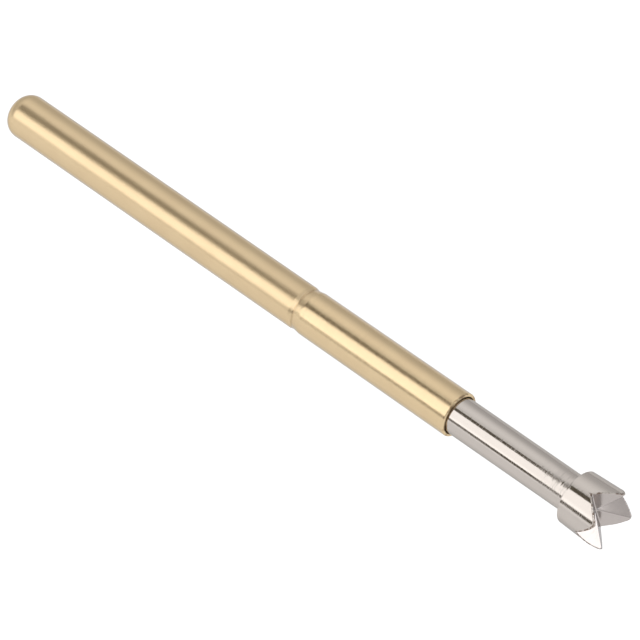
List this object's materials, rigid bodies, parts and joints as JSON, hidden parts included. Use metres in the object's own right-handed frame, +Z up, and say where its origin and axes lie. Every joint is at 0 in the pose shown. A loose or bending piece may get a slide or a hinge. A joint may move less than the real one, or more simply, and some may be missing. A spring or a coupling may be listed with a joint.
{
  "type": "pogo pin",
  "caption": "Spring-loaded test pin: gold-plated tube barrel with a domed end and a rolled crimp, and a silver plunger that slides in and ends in a crown head.",
  "frame": {"origin": "on the pin's axis, where the barrel's rounded end meets its straight seat", "axes": "+X along the pin towards the crown, +Z up, with the pin lying level"},
  "size_m": [0.0177, 0.0014, 0.0014],
  "materials": {
    "gold_plate": "gold plating over nickel silver tube, smooth and satin",
    "plunger_plate": "hard silver-white plating over turned copper alloy, with fine turning lines",
    "spring_wire": "drawn spring wire"
  },
  "bodies": {
    "barrel": {"barrel": "gold_plate"},
    "spring": {"spring": "spring_wire"},
    "plunger": {"plunger": "plunger_plate"}
  },
  "joints": [
    {"name": "plunger_turn", "type": "hinge", "parent": "barrel", "child": "spring", "pos_m": [0, 0, 0], "axis": [1, 0, 0], "continuous": true},
    {"name": "plunger_travel", "type": "slide", "parent": "spring", "child": "plunger", "axis": [-1, 0, 0], "range_m": [0, 0.00265], "stiffness_N_per_m": 350, "springref_m": -0.001, "deforming": ["spring"]}
  ]
}
